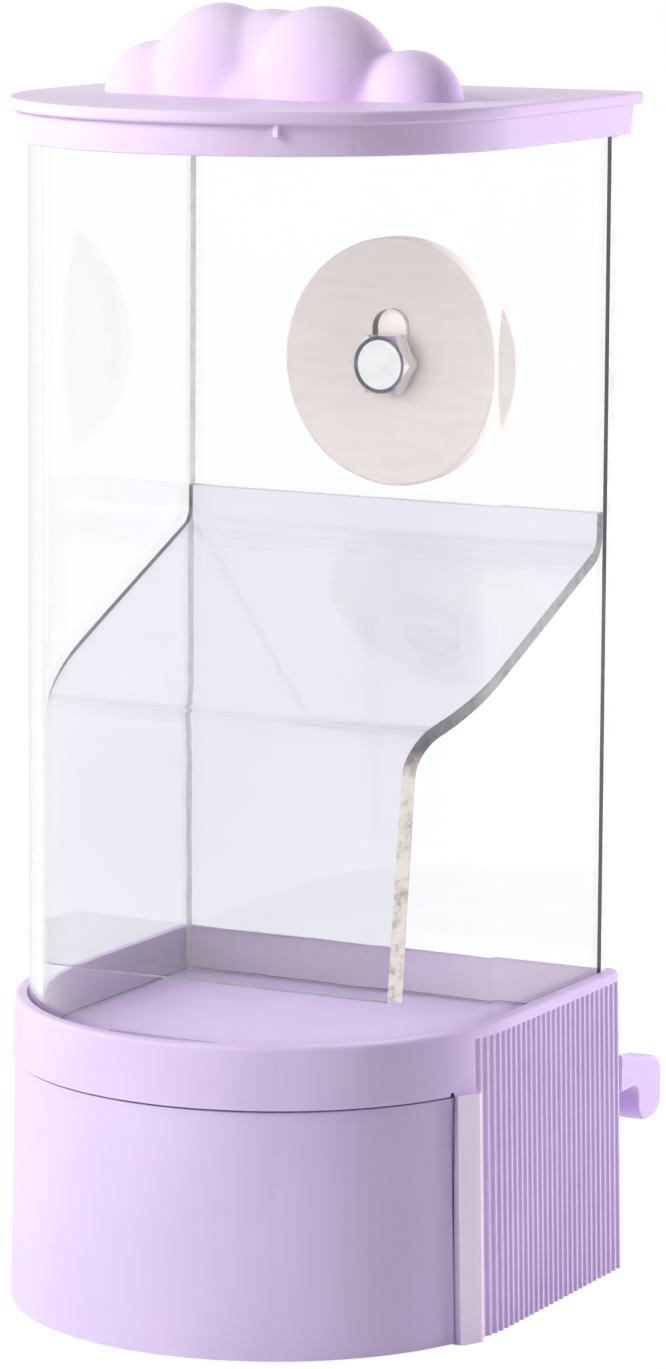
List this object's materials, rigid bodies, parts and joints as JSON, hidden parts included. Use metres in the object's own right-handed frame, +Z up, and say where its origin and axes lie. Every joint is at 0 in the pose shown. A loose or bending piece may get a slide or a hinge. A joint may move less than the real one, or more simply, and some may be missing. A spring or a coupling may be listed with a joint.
{
  "type": "cage gravity feeder",
  "caption": "Clear D-plan hopper on a plastic base with a pull-out feed drawer, lift-off lid and a bolt clamp for cage wire.",
  "frame": {"origin": "centre of the base's flat underside, on the axis of the half-round front", "axes": "+Z up, +Y towards the cage side with the bolt and hooks, the drawer pulls out along -Y, +X to the right seen from the front"},
  "size_m": [0.09, 0.1106, 0.2169],
  "materials": {
    "lavender_plastic": "satin moulded",
    "drawer_plastic": "satin moulded",
    "lid_plastic": "satin moulded",
    "clear_acrylic": "clear polished acrylic",
    "baffle_acrylic": "clear acrylic with sawn edges",
    "zinc_steel": "bright zinc plate",
    "pale_wood": "unfinished sanded",
    "washer_steel": "bright zinc plate",
    "wing_nut_steel": "bright zinc plate"
  },
  "bodies": {
    "base": {"base_housing": "lavender_plastic"},
    "drawer": {"feed_drawer": "drawer_plastic"},
    "tank": {"hopper_tank": "clear_acrylic", "feed_baffle": "baffle_acrylic"},
    "lid": {"cloud_lid": "lid_plastic"},
    "bolt": {"hex_bolt": "zinc_steel"},
    "pad": {"wooden_disc": "pale_wood", "plain_washer": "washer_steel"},
    "nut": {"wing_nut": "wing_nut_steel"}
  },
  "joints": [
    {"name": "drawer_slide", "type": "slide", "parent": "base", "child": "drawer", "axis": [0, -1, 0], "range_m": [0, 0.07]},
    {"name": "tank_lift", "type": "slide", "parent": "base", "child": "tank", "axis": [0, 0, 1], "range_m": [0, 0.03]},
    {"name": "lid_lift", "type": "slide", "parent": "tank", "child": "lid", "axis": [0, 0, 1], "range_m": [0, 0.03]},
    {"name": "bolt_slot", "type": "slide", "parent": "tank", "child": "bolt", "axis": [0, 0, 1], "range_m": [0, 0.0059]},
    {"name": "pad_travel", "type": "slide", "parent": "bolt", "child": "pad", "axis": [0, 1, 0], "range_m": [0, 0.008]},
    {"name": "nut_spin", "type": "hinge", "parent": "pad", "child": "nut", "pos_m": [0, 0.0504, 0.1542], "axis": [0, 1, 0], "range_deg": [0, 2880]}
  ],
  "couplings": [
    {"joint": "pad_travel", "follows": "nut_spin", "m_per_rad": 0.00015915}
  ]
}
